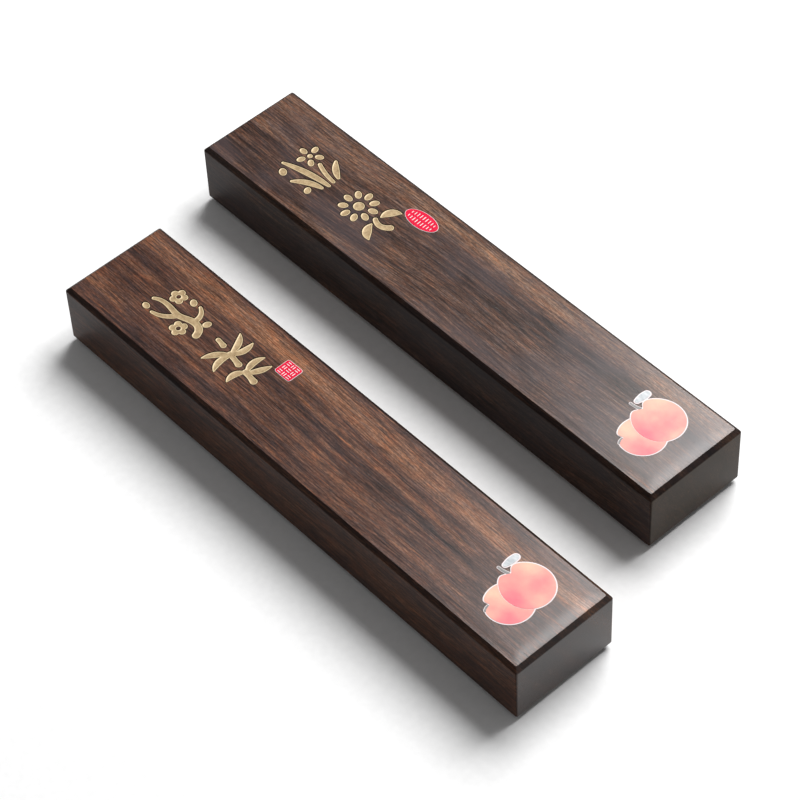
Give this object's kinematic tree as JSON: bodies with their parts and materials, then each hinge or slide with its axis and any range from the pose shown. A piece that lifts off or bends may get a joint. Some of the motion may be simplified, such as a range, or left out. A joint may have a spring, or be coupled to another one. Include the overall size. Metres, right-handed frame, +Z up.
{
  "type": "desk paperweight pair",
  "caption": "Matching weighted hardwood bars with eased edges, gilt plant inlays, a red seal and a fruit print, laid on paper to hold it flat.",
  "frame": {"origin": "on the desk, at the middle of the pair's footprint", "axes": "+X along the bars, from the plain ends to the fruit ends; +Y from the front bar to the back bar; +Z up"},
  "size_m": [0.1712, 0.0852, 0.0191],
  "materials": {
    "front_wood": "oiled reddish-brown open-grained hardwood, satin",
    "back_wood": "oiled grey-brown open-grained hardwood, satin",
    "steel": "plain rolled steel bar",
    "felt": "dense black wool felt",
    "gilt": "gold paint, satin, pooled in a cut recess",
    "pale_ink": "opaque white print ink, satin",
    "seal_red_ink": "crimson print ink, satin",
    "fruit_pink_ink": "watercolour-like print ink, pink to cream, satin",
    "fruit_peach_ink": "watercolour-like print ink, cream to pink, satin",
    "leaf_ink": "pale grey-green print ink, satin",
    "stem_ink": "grey print ink, satin"
  },
  "bodies": {
    "front_bar": {"front_body": "front_wood", "front_weight_core": "steel", "front_felt_base": "felt", "front_gilt_plum": "gilt", "front_gilt_bamboo": "gilt", "front_seal_base": "pale_ink", "front_seal_ink": "seal_red_ink", "front_print_base": "pale_ink", "front_large_fruit": "fruit_pink_ink", "front_small_fruit": "fruit_peach_ink", "front_leaf": "leaf_ink", "front_stems": "stem_ink"},
    "back_bar": {"back_body": "back_wood", "back_weight_core": "steel", "back_felt_base": "felt", "back_gilt_orchid": "gilt", "back_gilt_chrysanthemum": "gilt", "back_seal_base": "pale_ink", "back_seal_ink": "seal_red_ink", "back_print_base": "pale_ink", "back_large_fruit": "fruit_pink_ink", "back_small_fruit": "fruit_peach_ink", "back_leaf": "leaf_ink", "back_stems": "stem_ink"}
  },
  "joints": [
    {"name": "back_bar_slide", "type": "slide", "parent": "front_bar", "child": "back_bar", "axis": [0, 1, 0], "range_m": [-0.0245, 0.2]}
  ]
}
